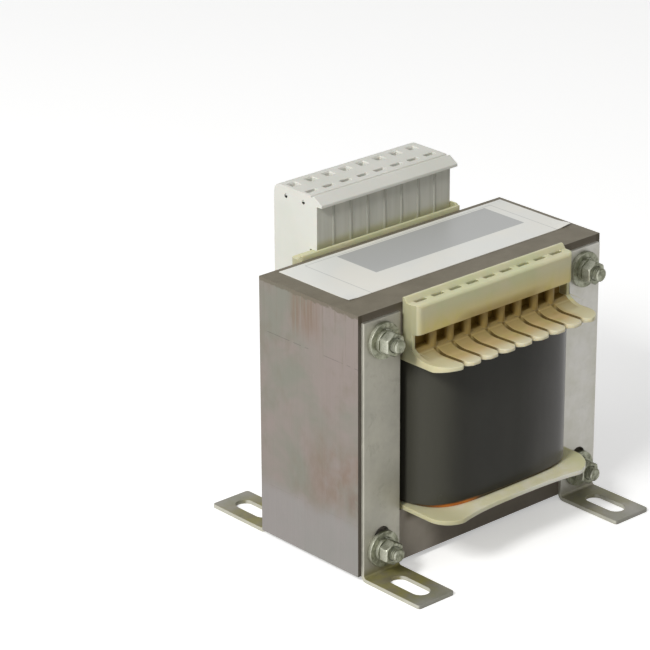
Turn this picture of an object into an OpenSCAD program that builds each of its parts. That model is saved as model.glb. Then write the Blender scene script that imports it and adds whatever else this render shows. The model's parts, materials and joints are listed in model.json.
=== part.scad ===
// Laminated chassis transformer.
// A stack of E and I stampings is clamped by four long bolts between four slotted angle brackets.
// A moulded bobbin carries the windings and has a terminal rail in front and one behind.
// The housing with the clamp terminals sits on the rear rail.
// The front, where the nuts are, faces -Y. The origin is the middle of the plane the feet stand on.

/* [Core] */
// Width of the middle limb of an E stamping
limb_w = 40; // [38:0.5:46]
// Width of the outer limbs and of both yokes
yoke_w = 20; // [18.5:0.5:25]
// Width of each winding window
window_w = 20; // [19:0.5:25]
// Height of each winding window
window_h = 60; // [55:1:75]
// Thickness of the whole stack, front to back
stack_d = 52; // [46:1:64]
// Number of packets that are laid in turn, yoke down and yoke up
packets = 26; // [14:2:30]
// Diameter of the clamping holes in the stampings
core_hole_d = 7; // [6.6:0.1:8]
// Distance of the clamping holes from the edges of the core
core_hole_in = 10; // [9:0.25:11.5]
// Height of the underside of the core above the surface it stands on
core_lift = 2; // [2:0.25:5]

/* [Brackets] */
// Width of a bracket's strip
bracket_w = 17.3; // [15:0.1:18.5]
// Thickness of the sheet the brackets are folded from
bracket_t = 1.6; // [1.4:0.1:2]
// Radius inside the fold
fold_r = 1; // [0.5:0.1:2]
// Distance from a bracket's upright to the tip of its foot
foot_reach = 28.4; // [27:0.1:36]
// Width of the slot in a foot
foot_slot_w = 7; // [5:0.1:8]
// Length of the slot in a foot
foot_slot_len = 17.5; // [12:0.5:19]
// Land between the slot and the tip of the foot
foot_land = 5; // [3:0.25:6]
// Radius of the corners of a foot
foot_corner_r = 1.2; // [0.5:0.1:4]
// Distance from the top of the core down to the top of a bracket
bracket_below_top = 2.7; // [1:0.1:4]
// Diameter of the upper bolt hole in a bracket
bracket_hole_d = 5.8; // [5.4:0.1:7]
// Width of the upright slot for the lower bolt
bracket_slot_w = 7; // [5.6:0.1:7.6]
// Length of the upright slot for the lower bolt
bracket_slot_len = 14.6; // [8:0.1:15]

/* [Fasteners] */
// Diameter of the clamping bolts
bolt_d = 5; // [4.5:0.1:5.2]
// Height of a bolt's head
head_h = 3.5; // [3:0.1:4.5]
// Width across the flats of the heads and nuts
hex_af = 8; // [7.5:0.1:9]
// Height of a nut
nut_h = 4; // [3:0.1:5]
// Length of a bolt beyond its nut
bolt_stub = 2.5; // [1:0.5:8]
// Diameter of the flat washers
washer_d = 13.6; // [11:0.1:14]
// Thickness of the flat washers
washer_t = 1.6; // [1:0.1:2]
// Diameter of the split lock washers
lock_d = 9.2; // [8.4:0.1:10]
// Thickness of the split lock washers
lock_t = 1.3; // [1:0.1:1.8]

/* [Bobbin] */
// Wall of the tube round the middle limb
tube_t = 1.5; // [1:0.1:2]
// Thickness of a flange inside the windows
flange_t = 1.7; // [1.2:0.1:2.2]
// Reach of the flanges beyond the coil, in front and behind
flange_over = 7.9; // [6.5:0.1:9]
// Radius of the corners of the flanges
flange_corner_r = 9; // [5:0.5:12]
// Radius of the right corners of the lower flange
lower_right_r = 14; // [9:0.5:16]
// Depth of the hollow along the front and the rear of the lower flange
lower_hollow = 4; // [0.5:0.25:5]
// Rise of the finger tips above the window flange
finger_rise = 1.2; // [0.6:0.1:2]
// Thickness of a finger at its tip
finger_t = 1.5; // [1.3:0.1:2.2]
// Width of the slits between the fingers
slit_w = 1.6; // [1.1:0.1:1.8]
// Radius of the curve from the fingers up to the rail
throat_r = 10.5; // [9:0.5:12]
// Rise of the floor of the recesses above the window flange
floor_rise = 3.4; // [2.8:0.1:4]
// Depth of a terminal rail, away from the core
rail_d = 7.1; // [6.6:0.1:8]
// Height of the closed front of a rail
rail_front_h = 11.2; // [9:0.1:12]
// Wall of a rail
rail_t = 1.5; // [1.2:0.1:1.8]
// Radius of the upright corners of a rail
rail_end_r = 3; // [1:0.25:4]
// Height of the ridge along a rail, next to the core
ridge_h = 1.8; // [1:0.1:2.5]
// Distance between the terminal positions
pole_pitch = 8.4; // [8:0.05:9]
// Diameter of the columns between the recesses
column_d = 3.6; // [2.8:0.1:4.2]
// Length of the latch slots in the top of a rail
latch_slot_len = 5.2; // [4:0.1:6]

/* [Windings] */
// Gap between the tape and the outer limbs of the core
coil_gap = 1.7; // [1:0.1:3]
// Build of the coil in front of and behind the tube
coil_build = 13.9; // [12:0.1:16]
// Share of the build that is primary winding
primary_share = 0.5; // [0.35:0.01:0.6]
// Thickness of the insulating films
film_t = 0.5; // [0.3:0.05:0.8]
// Thickness of the tape wrap
tape_t = 0.6; // [0.4:0.05:1]
// Strip of film left bare above and below the tape
tape_margin = 0.4; // [0.2:0.1:2]
// Diameter of the lead wires
lead_d = 0.9; // [0.6:0.05:0.95]

/* [Terminal housing] */
// Height of the housing above the rail
housing_h = 20.6; // [18:0.1:26]
// Depth of the housing behind the rail
housing_back = 19.8; // [18:0.1:24]
// Gap between the finger tips and the housing
housing_over_fingers = 3.1; // [2.8:0.1:4]
// Outer wall of the housing
housing_t = 1.5; // [1.2:0.1:1.8]
// Wall between two poles
partition_t = 1.2; // [0.8:0.1:1.4]
// Thickness of the top of the housing
housing_top_t = 3.6; // [2.5:0.1:4.5]
// Radius of the upper rear edge of the housing
housing_edge_r = 3; // [1:0.25:4]
// Reach of the lip over the front
lip_reach = 2.6; // [1:0.1:3]
// Height of the lip
lip_h = 3.6; // [2.5:0.1:4.5]
// Overhang of the top beyond the right end
top_overhang = 1.3; // [0.4:0.1:1.8]
// Thickness of a contact bar
bar_t = 0.8; // [0.6:0.05:1]
// Width of the contact bars and of the clamp springs
bar_w = 5; // [4:0.1:5.6]
// Height of a clamp spring
spring_h = 6.8; // [5.5:0.1:7.5]
// Thickness of a clamp spring's strip
spring_t = 0.4; // [0.3:0.05:0.6]

/* [Label] */
// Length of the label
label_w = 110.5; // [60:0.5:112]
// Width of the label
label_d = 37; // [20:0.5:38]
// Thickness of the label
label_t = 0.2; // [0.1:0.05:0.4]
// Gap between the label and the right edge of the core
label_right_gap = 2; // [1:0.25:4]
// Gap between the label and the rear edge of the core
label_back_gap = 2.2; // [1:0.1:4]

/* [Hidden] */
$fn = 48;

// Clearances
fit = 0.3;          // moulding to stampings
seat = 0.1;         // piece to the seat that carries it
touch = 0.05;       // piece resting on another
over = 1;           // cutters run past the faces they open

// Core
core_w = limb_w + 2 * window_w + 2 * yoke_w;
core_h = window_h + 2 * yoke_w;
packet_t = stack_d / packets;
core_face = stack_d / 2;
core_top = core_lift + core_h;
window_z0 = core_lift + yoke_w;
window_z1 = window_z0 + window_h;

// Bolts lie on the bottom of the core's wider holes
bolt_drop = (core_hole_d - bolt_d) / 2 - seat;
bolt_x = core_w / 2 - core_hole_in;
bolt_z_low = core_lift + core_hole_in - bolt_drop;
bolt_z_high = core_top - core_hole_in - bolt_drop;
bracket_face = core_face + bracket_t;
hole_in_washer_d = bolt_d + 2 * seat;
head_edge = 0.4;

// Bobbin
bobbin_x = limb_w / 2 + window_w - 2 * fit;
tube_x = limb_w / 2 + fit + tube_t;
tube_y = core_face + fit + tube_t;
tube_corner_r = 1.5;
bobbin_z0 = window_z0 + fit;
bobbin_z1 = window_z1 - fit;
wind_z0 = bobbin_z0 + flange_t;
wind_z1 = bobbin_z1 - flange_t;
coil_x = limb_w / 2 + window_w - coil_gap;
coil_y = tube_y + coil_build;
flange_y = coil_y + flange_over;

// Terminal rails, measured outwards from the middle of the stack
rail_in = core_face + fit;
rail_out = rail_in + rail_d;
rail_top = core_top;
rail_front_z = rail_top - rail_front_h;
ridge_top = rail_top + ridge_h;
ridge_flat = 1;
ridge_foot = rail_in + rail_t + 0.6;
end_wall_least = 1.4;
positions = floor((2 * bobbin_x - 2 * end_wall_least) / pole_pitch);
rib_t = 2;
column_out = rail_out - 1;
floor_z = bobbin_z1 + floor_rise;
finger_top = bobbin_z1 + finger_rise;
throat_y = rail_out + 4.6;
throat_z = bobbin_z1 + 0.8;
latch_slot_w = 1.6;
tip_corner_r = 3.2;
rail_corner_r = 1.2;
recess_front = rail_out - 2.2;

// Windings
coil_bend = 4.8;
inner_bend = 6;
coil_steps = 72;
build_x = coil_x - tube_x;

// Terminal housing, on all positions but the first
poles = positions - 1;
housing_w = poles * pole_pitch - 2 * fit;
housing_x = pole_pitch / 2;
housing_z0 = finger_top + housing_over_fingers;
housing_z1 = rail_top + housing_h;
housing_front = rail_out - 3.7;
housing_in = rail_out + seat * 2;
housing_out = rail_out + housing_back;
cell_w = pole_pitch - partition_t;
cell_in = housing_in + housing_t;
cell_top = housing_z1 - housing_top_t;
lip_z = housing_z1 - lip_h;
groove_in = 2;
groove_w = 1.3;
groove_depth = 0.6;
hook_w = 4;
hook_reach = 1.3;
hook_h = 2.6;
driver_in = 7.3;
row_gap = 9.5;
driver_row = housing_front + driver_in;
wire_row = driver_row + row_gap;
end_hole_d = 1.6;
end_hole_depth = 0.5;
bar_top = cell_top - spring_h - 2 * touch;
bar_z0 = housing_z0 + 1.8;
eye_z = bar_z0 + 2;
eye_d = 1.5;
bar_past_wire = 2;
wire_past_eye = 3;
stop_t = 1.6;
stop_h = 2.8;
stop_d = 3;
spring_len = 13.6;

// ---- Shared shapes ----

// Rectangle with true round corners
module rounded_rectangle(w, d, r) {
    square([w - 2 * r, d], center = true);
    square([w, d - 2 * r], center = true);
    for (sx = [-1, 1], sy = [-1, 1])
        translate([sx * (w / 2 - r), sy * (d / 2 - r)]) circle(r);
}

// Slot with round ends, its length along Y
module slot(w, len) {
    square([w, len - w], center = true);
    for (side = [-1, 1])
        translate([0, side * (len - w) / 2]) circle(d = w);
}

// Turns a profile drawn in Y and Z into a bar along X
module along_x(len) {
    rotate([90, 0, 90]) linear_extrude(len, center = true) children();
}

// Turns an outline drawn in X and Z into a plate that starts at y and gets thicker towards -Y
module upright_plate(y, t) {
    translate([0, y, 0]) rotate([90, 0, 0]) linear_extrude(t) children();
}

module front_and_back() {
    children();
    mirror([0, 1, 0]) children();
}

// Puts a fastener, drawn along +Z, on each of the four bolt axes, pointing to the front
module on_bolts(y) {
    for (x = [-bolt_x, bolt_x], z = [bolt_z_low, bolt_z_high])
        translate([x, y, z]) rotate([90, 0, 0]) children();
}

// Removes the material outside a round corner of radius r at the origin, for a corner in +X +Y
module corner_waste(r) {
    translate([-r, -r]) difference() {
        square(r + over);
        circle(r);
    }
}

// ---- Core ----

module hole_pair(z) {
    for (x = [-bolt_x, bolt_x])
        translate([x, z]) circle(d = core_hole_d);
}

// Outline of an E stamping with its yoke at the bottom, standing on z = 0
module e_outline() {
    difference() {
        translate([-core_w / 2, 0]) square([core_w, core_h - yoke_w]);
        for (side = [-1, 1])
            translate([side * (limb_w + window_w) / 2 - window_w / 2, yoke_w])
                square([window_w, window_h + over]);
        hole_pair(core_hole_in);
    }
}

// Outline of an I stamping that closes such an E at the top
module i_outline() {
    difference() {
        translate([-core_w / 2, core_h - yoke_w]) square([core_w, yoke_w]);
        hole_pair(core_h - core_hole_in);
    }
}

// Every other packet, starting with the first or the second
module packet_group(first) {
    for (k = [first:2:packets - 1])
        upright_plate(core_face - k * packet_t, packet_t)
            translate([0, core_lift]) children();
}

module turned_over() {
    translate([0, core_h]) mirror([0, 1]) children();
}

module e_stampings_yoke_down() {
    color("dimgray") packet_group(0) e_outline();
}

module e_stampings_yoke_up() {
    color("gray") packet_group(1) turned_over() e_outline();
}

module i_stampings_top() {
    color("slategray") packet_group(0) i_outline();
}

module i_stampings_bottom() {
    color("darkgray") packet_group(1) turned_over() i_outline();
}

// ---- Bobbin ----

// X of the line between two terminal positions, or of the middle of a position for a half number
function position_x(k) = (k - positions / 2) * pole_pitch;

// Section of the fingers and of the floor they rise from, outwards in Y and up in Z
module finger_section() {
    tip_r = finger_t / 2;
    difference() {
        polygon([
            [rail_in, wind_z1], [coil_y, wind_z1],
            [flange_y - tip_r, finger_top - finger_t], [flange_y - tip_r, finger_top],
            [throat_y, throat_z], [throat_y, floor_z], [rail_in, floor_z]]);
        translate([throat_y, throat_z + throat_r]) circle(throat_r);
    }
    translate([flange_y - tip_r, finger_top - tip_r]) circle(tip_r);
}

// Section of a rail's inner wall, ridge, top and closed front
module wall_section() {
    translate([rail_in, wind_z1]) square([rail_t, rail_top - wind_z1]);
    polygon([
        [rail_in, rail_top - rail_t], [rail_in, ridge_top], [rail_in + ridge_flat, ridge_top],
        [ridge_foot, rail_top], [rail_out - rail_corner_r, rail_top],
        [rail_out, rail_top - rail_corner_r], [rail_out, rail_front_z],
        [rail_out - rail_t, rail_front_z], [rail_out - rail_t, rail_top - rail_t]]);
    translate([rail_out - rail_corner_r, rail_top - rail_corner_r]) circle(rail_corner_r);
}

// Fills a rail's section between its walls, for the ribs and the end walls
module rib_section() {
    translate([rail_in, floor_z - floor_rise]) square([recess_front - rail_in, rail_top - floor_z + 1]);
    translate([rail_in, rail_front_z]) square([rail_out - rail_t / 2 - rail_in, rail_front_h - rail_t / 2]);
}

// Slits between the fingers and the round corners of the finger tips
module finger_cuts() {
    for (k = [1:positions - 1])
        translate([position_x(k), 0]) {
            translate([-slit_w / 2, column_out]) square([slit_w, flange_y - column_out + over]);
            for (side = [0, 1])
                mirror([side, 0]) translate([-slit_w / 2, flange_y]) corner_waste(tip_corner_r);
        }
}

// Outline of a flange, open for the middle limb
module flange_outline() {
    difference() {
        rounded_rectangle(2 * bobbin_x, 2 * flange_y, flange_corner_r);
        square([limb_w + 2 * fit, stack_d + 2 * fit], center = true);
    }
}

// Waste of the lower flange: hollow front and rear edges and wider right corners
module lower_waste() {
    half = bobbin_x - flange_corner_r;
    hollow_r = (half * half + lower_hollow * lower_hollow) / (2 * lower_hollow);
    for (side = [0, 1])
        mirror([0, side]) {
            translate([0, flange_y - lower_hollow + hollow_r]) circle(hollow_r, $fn = 240);
            translate([bobbin_x, flange_y]) corner_waste(lower_right_r);
        }
}

// Box round a rail with upright corners of radius r, from its floor up
module rail_room(y, r) {
    translate([0, 0, wind_z1 - over]) linear_extrude(ridge_top - wind_z1 + 2 * over)
        rounded_rectangle(2 * bobbin_x, 2 * y, r);
}

module rail_ribs() {
    for (k = [1:positions - 1])
        translate([position_x(k), 0, 0]) {
            along_x(rib_t) rib_section();
            translate([0, column_out - column_d / 2, floor_z - floor_rise])
                cylinder(d = column_d, h = rail_front_z - floor_z + floor_rise + over);
        }
    for (side = [-1, 1])
        translate([side * (bobbin_x + position_x(positions)) / 2, 0, 0])
            along_x(bobbin_x - position_x(positions)) rib_section();
}

module rail() {
    difference() {
        union() {
            intersection() {
                along_x(2 * bobbin_x) finger_section();
                rail_room(flange_y, flange_corner_r);
            }
            intersection() {
                union() {
                    along_x(2 * bobbin_x) wall_section();
                    rail_ribs();
                }
                rail_room(rail_out, rail_end_r);
            }
        }
        translate([0, 0, wind_z1 - over]) linear_extrude(floor_z - wind_z1 + 2 * over) finger_cuts();
        for (k = [0.5:positions - 0.5])
            translate([position_x(k) - latch_slot_len / 2, ridge_foot, rail_top - rail_t - over])
                cube([latch_slot_len, latch_slot_w, rail_t + 2 * over]);
    }
}

// Lug beside the right end of the housing
module housing_stop() {
    upright_plate(rail_in + ridge_flat + stop_d, stop_d) difference() {
        translate([bobbin_x - stop_t, rail_top - rail_t]) square([stop_t, stop_h + rail_t]);
        translate([bobbin_x, rail_top + stop_h]) corner_waste(stop_t * 0.8);
    }
}

module bobbin() {
    color("wheat") union() {
        translate([0, 0, bobbin_z0]) linear_extrude(flange_t) difference() {
            flange_outline();
            lower_waste();
        }
        translate([0, 0, wind_z1]) linear_extrude(flange_t) intersection() {
            flange_outline();
            square([2 * bobbin_x, 2 * tube_y], center = true);
        }
        translate([0, 0, bobbin_z0]) linear_extrude(bobbin_z1 - bobbin_z0) difference() {
            rounded_rectangle(2 * tube_x, 2 * tube_y, tube_corner_r);
            square([limb_w + 2 * fit, stack_d + 2 * fit], center = true);
        }
        front_and_back() rail();
        housing_stop();
    }
}

// ---- Windings ----

// A wire wound on a rectangular tube rounds its corners and bulges over its sides.
// Outline of the coil when the part f of its build is on.
function coil_outline(f) =
    let (a = tube_x + build_x * f, b = tube_y + coil_build * f, n = inner_bend + (coil_bend - inner_bend) * f)
    [for (k = [0:coil_steps - 1])
        let (c = cos(k * 360 / coil_steps), s = sin(k * 360 / coil_steps))
        [a * sign(c) * pow(abs(c), 2 / n), b * sign(s) * pow(abs(s), 2 / n)]];

film_share = film_t / build_x;
primary_end = primary_share;
film_end = primary_end + film_share;
outer_film_end = 1 - tape_t / build_x;
secondary_end = outer_film_end - film_share;

module coil_layer(f0, f1, margin) {
    translate([0, 0, wind_z0 + seat + margin])
        linear_extrude(wind_z1 - wind_z0 - 2 * seat - 2 * margin) difference() {
            polygon(coil_outline(f1));
            if (f0 > 0) polygon(coil_outline(f0));
            else rounded_rectangle(2 * tube_x, 2 * tube_y, tube_corner_r);
        }
}

module primary_winding() {
    color("sienna") coil_layer(0, primary_end, 0);
}

module winding_film() {
    color("goldenrod") coil_layer(primary_end, film_end, 0);
}

module secondary_winding() {
    color("chocolate") coil_layer(film_end, secondary_end, 0);
}

module outer_film() {
    color("darkorange") coil_layer(secondary_end, outer_film_end, 0);
}

module tape_wrap() {
    color([0.2, 0.2, 0.19]) coil_layer(outer_film_end, 1, tape_margin);
}

// ---- Brackets ----

// Section of the folded strip, outwards in Y and up in Z
module bracket_section() {
    bend = bracket_t + fold_r;
    translate([core_face, bend]) square([bracket_t, core_top - bracket_below_top - bend]);
    translate([core_face + bend, 0]) square([foot_reach + bracket_t - bend, bracket_t]);
    translate([core_face + bend, bend]) intersection() {
        difference() {
            circle(bend);
            circle(fold_r);
        }
        translate([-bend, -bend]) square(bend);
    }
}

// The bracket of the back left corner; the others are its mirror images
module bracket() {
    foot_tip = bracket_face + foot_reach;
    foot_slot_y = foot_tip - foot_land - foot_slot_len / 2;
    color([0.62, 0.61, 0.56]) translate([-bolt_x, 0, 0]) difference() {
        along_x(bracket_w) bracket_section();
        translate([0, foot_slot_y, -over]) linear_extrude(bracket_t + 2 * over)
            slot(foot_slot_w, foot_slot_len);
        for (side = [0, 1])
            mirror([side, 0, 0]) translate([bracket_w / 2, foot_tip, -over])
                linear_extrude(bracket_t + 2 * over) corner_waste(foot_corner_r);
        upright_plate(bracket_face + over, bracket_t + 2 * over) {
            translate([0, bolt_z_high]) circle(d = bracket_hole_d);
            translate([0, core_lift + core_hole_in]) slot(bracket_slot_w, bracket_slot_len);
        }
    }
}

module back_left_bracket() {
    bracket();
}

module back_right_bracket() {
    mirror([1, 0, 0]) bracket();
}

module front_left_bracket() {
    mirror([0, 1, 0]) bracket();
}

module front_right_bracket() {
    mirror([1, 0, 0]) mirror([0, 1, 0]) bracket();
}

// ---- Fasteners ----

// Hexagon of height h with its corners turned down at the top, standing on z = 0
module hexagon(h) {
    corner_d = hex_af / cos(30);
    intersection() {
        cylinder(d = corner_d, h = h, $fn = 6);
        rotate_extrude() polygon([[0, 0], [corner_d / 2, 0], [corner_d / 2, h - head_edge],
            [hex_af / 2 - 0.2, h], [0, h]]);
    }
}

module ring(outer_d, inner_d, h) {
    difference() {
        cylinder(d = outer_d, h = h);
        translate([0, 0, -over]) cylinder(d = inner_d, h = h + 2 * over);
    }
}

head_y = bracket_face + washer_t;
lock_y = bracket_face + washer_t;
nut_y = lock_y + lock_t;
bolt_len = head_y + nut_y + nut_h + bolt_stub;

module clamping_bolts() {
    point = 0.6;
    color("silver") on_bolts(head_y) {
        rotate([180, 0, 0]) hexagon(head_h);
        cylinder(d = bolt_d, h = bolt_len - point);
        translate([0, 0, bolt_len - point]) cylinder(d1 = bolt_d, d2 = bolt_d - 2 * point, h = point);
    }
}

module head_washers() {
    color("gainsboro") on_bolts(head_y) ring(washer_d, hole_in_washer_d, washer_t);
}

module nut_washers() {
    color("gainsboro") on_bolts(-bracket_face) ring(washer_d, hole_in_washer_d, washer_t);
}

// A spring ring cut through at a slant
module lock_washers() {
    cut_w = 0.7;
    color("darkgray") on_bolts(-lock_y) difference() {
        ring(lock_d, hole_in_washer_d, lock_t);
        translate([0, lock_d / 2, lock_t / 2]) rotate([0, 25, 0])
            cube([cut_w, lock_d, 3 * lock_t], center = true);
    }
}

module nuts() {
    color("silver") on_bolts(-nut_y) rotate(30) difference() {
        hexagon(nut_h);
        translate([0, 0, -over]) cylinder(d = hole_in_washer_d, h = nut_h + 2 * over);
    }
}

// ---- Terminal housing ----

// X of the middle of a pole
function pole_x(k) = housing_x + (k - (poles - 1) / 2) * pole_pitch;

// Outer section of the housing, which stands on the rail and hangs down behind it
module housing_section() {
    lip_slope = lip_h - 1.2;
    r = housing_edge_r;
    polygon([
        [housing_front, rail_top], [housing_front, lip_z], [housing_front - lip_reach, lip_z],
        [housing_front - lip_reach, housing_z1 - lip_slope], [housing_front + 1.5, housing_z1],
        [housing_out - r, housing_z1], [housing_out, housing_z1 - r], [housing_out, housing_z0],
        [housing_in, housing_z0], [housing_in, rail_top]]);
    translate([housing_out - r, housing_z1 - r]) circle(r);
}

// Section of the room for one pole, open below
module cell_section() {
    polygon([
        [cell_in, housing_z0 - over], [housing_out - housing_t, housing_z0 - over],
        [housing_out - housing_t, cell_top], [housing_front + housing_t, cell_top],
        [housing_front + housing_t, rail_top + housing_t], [cell_in, rail_top + housing_t]]);
}

// Snap hook under the closed front of the rail
module hook_section() {
    polygon([[housing_in + seat, rail_front_z - seat * 2], [housing_in - hook_reach, rail_front_z - seat * 2],
        [housing_in + seat, rail_front_z - hook_h]]);
}

// Openings in the top for the wire and for the blade that opens the clamp
module pole_openings() {
    wire_hole = [3.6, 3];
    funnel = [4.2, 3.6];
    blade_hole = [bar_w, 2];
    for (size = [wire_hole, blade_hole])
        translate([0, size == wire_hole ? wire_row : driver_row, (cell_top + housing_z1) / 2])
            cube([size[0], size[1], housing_top_t + over], center = true);
    translate([0, wire_row, housing_z1]) cube([funnel[0], funnel[1], 1], center = true);
}

// Closed body with the groove along its top, which stands out at the right end
module housing_body() {
    difference() {
        union() {
            translate([housing_x, 0, 0]) along_x(housing_w) housing_section();
            translate([housing_x + housing_w / 2, 0, 0]) intersection() {
                along_x(2 * top_overhang) housing_section();
                translate([-top_overhang - over, 0, lip_z])
                    cube([2 * (top_overhang + over), housing_out + over, lip_h + over]);
            }
        }
        translate([housing_x - housing_w, housing_front + groove_in, housing_z1 - groove_depth])
            cube([2 * housing_w, groove_w, groove_depth + over]);
    }
}

module terminal_housing() {
    rib = [0.8, 0.25];
    color([0.88, 0.87, 0.84]) difference() {
        union() {
            housing_body();
            for (k = [1:poles - 1])
                translate([pole_x(k - 0.5) - rib[0] / 2, housing_front - rib[1], rail_top])
                    cube([rib[0], 2 * rib[1], lip_z - rail_top]);
            for (k = [1, poles - 2])
                translate([pole_x(k), 0, 0]) along_x(hook_w) hook_section();
        }
        for (k = [0:poles - 1])
            translate([pole_x(k), 0, 0]) {
                along_x(cell_w) cell_section();
                pole_openings();
            }
        for (side = [-1, 1], y = [driver_row, wire_row])
            translate([housing_x + side * housing_w / 2, y, cell_top])
                rotate([0, 90, 0]) cylinder(d = end_hole_d, h = 2 * end_hole_depth, center = true);
    }
}

module contact_bars() {
    leg = wire_row - cell_in + bar_past_wire;
    color("goldenrod") for (k = [0:poles - 1])
        translate([pole_x(k), 0, 0]) difference() {
            along_x(bar_w) {
                translate([cell_in, bar_z0]) square([bar_t, bar_top - bar_z0]);
                translate([cell_in, bar_top - bar_t]) square([leg, bar_t]);
            }
            translate([0, cell_in + bar_t / 2, eye_z]) rotate([90, 0, 0])
                cylinder(d = eye_d, h = bar_t + 2 * over, center = true);
        }
}

// Closed loop of spring strip between the bar and the top of the housing
module spring_loop(h) {
    translate([cell_in + 1 + spring_len / 2, bar_top + touch + spring_h / 2]) rotate(90)
        slot(h, spring_len - spring_h + h);
}

module clamp_springs() {
    color("lightsteelblue") for (k = [0:poles - 1])
        translate([pole_x(k), 0, 0]) along_x(bar_w) difference() {
            spring_loop(spring_h);
            spring_loop(spring_h - 2 * spring_t);
        }
}

// ---- Lead wires ----

function unit(v) = v / norm(v);

// Direction of a wire at point k of its route: the middle one of the two runs that meet there
function heading(p, k) =
    unit((k > 0 ? unit(p[k] - p[k - 1]) : [0, 0, 0]) + (k < len(p) - 1 ? unit(p[k + 1] - p[k]) : [0, 0, 0]));

// Sweeps a round section along a route that never runs along Y
module wire(p) {
    sides = 8;
    ends = len(p) - 1;
    rings = [for (k = [0:ends], j = [0:sides - 1])
        let (dir = heading(p, k), u = unit(cross([0, 1, 0], dir)), v = cross(dir, u))
        p[k] + lead_d / 2 * (cos(j * 360 / sides) * u + sin(j * 360 / sides) * v)];
    walls = [for (k = [0:ends - 1], j = [0:sides - 1])
        let (a = k * sides + j, b = k * sides + (j + 1) % sides)
        each [[a, a + sides, b + sides], [a, b + sides, b]]];
    polyhedron(rings, concat(walls, [
        [for (j = [0:sides - 1]) j],
        [for (j = [sides - 1:-1:0]) ends * sides + j]]));
}

// Each lead comes up through a slit, bends over into its cell and lies on its contact bar
module lead_wires() {
    lead_y = tube_y + coil_build * (film_end + secondary_end) / 2 + 1;
    bar_face = cell_in + bar_t + lead_d / 2 + touch;
    half = pole_pitch / 2;
    color("peru") for (k = [0:poles - 1])
        translate([pole_x(k), 0, 0]) wire([
            [-half, lead_y, wind_z1 - seat], [-half, lead_y, finger_top + lead_d / 2],
            [-half / 5, bar_face + 1, bar_z0 - 0.2],
            [0, bar_face, eye_z], [0, bar_face, eye_z + wire_past_eye]]);
}

// ---- Label ----

module label() {
    color("whitesmoke")
        translate([core_w / 2 - label_right_gap - label_w, core_face - label_back_gap - label_d, core_top])
            cube([label_w, label_d, label_t]);
}

e_stampings_yoke_down();
e_stampings_yoke_up();
i_stampings_top();
i_stampings_bottom();
bobbin();
primary_winding();
winding_film();
secondary_winding();
outer_film();
tape_wrap();
front_left_bracket();
front_right_bracket();
back_left_bracket();
back_right_bracket();
clamping_bolts();
head_washers();
nut_washers();
lock_washers();
nuts();
terminal_housing();
contact_bars();
clamp_springs();
lead_wires();
label();
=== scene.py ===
"""Looks of the laminated chassis transformer: its finishes, formed pieces, studio and camera."""

import json
from math import cos, pi, radians, sin

import bpy
from mathutils import Matrix, Vector

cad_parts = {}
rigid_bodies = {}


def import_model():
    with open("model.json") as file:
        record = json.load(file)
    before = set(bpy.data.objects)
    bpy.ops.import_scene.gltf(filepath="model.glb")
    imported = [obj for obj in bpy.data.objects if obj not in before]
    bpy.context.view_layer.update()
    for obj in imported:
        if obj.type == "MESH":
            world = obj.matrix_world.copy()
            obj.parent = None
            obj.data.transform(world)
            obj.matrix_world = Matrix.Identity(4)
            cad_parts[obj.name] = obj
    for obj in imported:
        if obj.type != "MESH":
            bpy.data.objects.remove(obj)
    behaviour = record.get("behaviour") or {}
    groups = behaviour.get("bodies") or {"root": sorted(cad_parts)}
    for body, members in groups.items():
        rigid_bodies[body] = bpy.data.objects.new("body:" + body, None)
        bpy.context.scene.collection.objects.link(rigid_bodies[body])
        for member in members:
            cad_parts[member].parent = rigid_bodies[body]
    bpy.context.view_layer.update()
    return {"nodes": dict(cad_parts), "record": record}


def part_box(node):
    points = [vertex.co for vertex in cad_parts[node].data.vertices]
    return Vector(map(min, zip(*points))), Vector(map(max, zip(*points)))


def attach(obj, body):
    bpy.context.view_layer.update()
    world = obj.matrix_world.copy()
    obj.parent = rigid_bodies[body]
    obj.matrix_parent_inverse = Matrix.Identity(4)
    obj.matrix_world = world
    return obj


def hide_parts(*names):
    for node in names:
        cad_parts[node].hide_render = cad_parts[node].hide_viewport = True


for leftover in list(bpy.data.objects):
    bpy.data.objects.remove(leftover)

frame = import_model()
nodes = frame["nodes"]

MM = 0.001
core_low, core_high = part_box("e_stampings_yoke_down")
core_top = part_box("i_stampings_top")[1].z


# ---- Node maths ----

class Value:
    """What comes out of a node. Sums on values add Math nodes."""

    def __init__(self, finish, socket):
        self.finish, self.socket = finish, socket

    def __add__(self, other):
        return self.finish.math("ADD", self, other)

    def __sub__(self, other):
        return self.finish.math("SUBTRACT", self, other)

    def __rsub__(self, other):
        return self.finish.math("SUBTRACT", other, self)

    def __mul__(self, other):
        return self.finish.math("MULTIPLY", self, other)

    def __truediv__(self, other):
        return self.finish.math("DIVIDE", self, other)

    def __abs__(self):
        return self.finish.math("ABSOLUTE", self)

    __radd__ = __add__
    __rmul__ = __mul__


def shade(code):
    """Linear colour of a six-digit screen colour."""
    parts = [int(code[k:k + 2], 16) / 255 for k in (0, 2, 4)]
    return tuple(c / 12.92 if c <= 0.04045 else ((c + 0.055) / 1.055) ** 2.4 for c in parts) + (1.0,)


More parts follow.
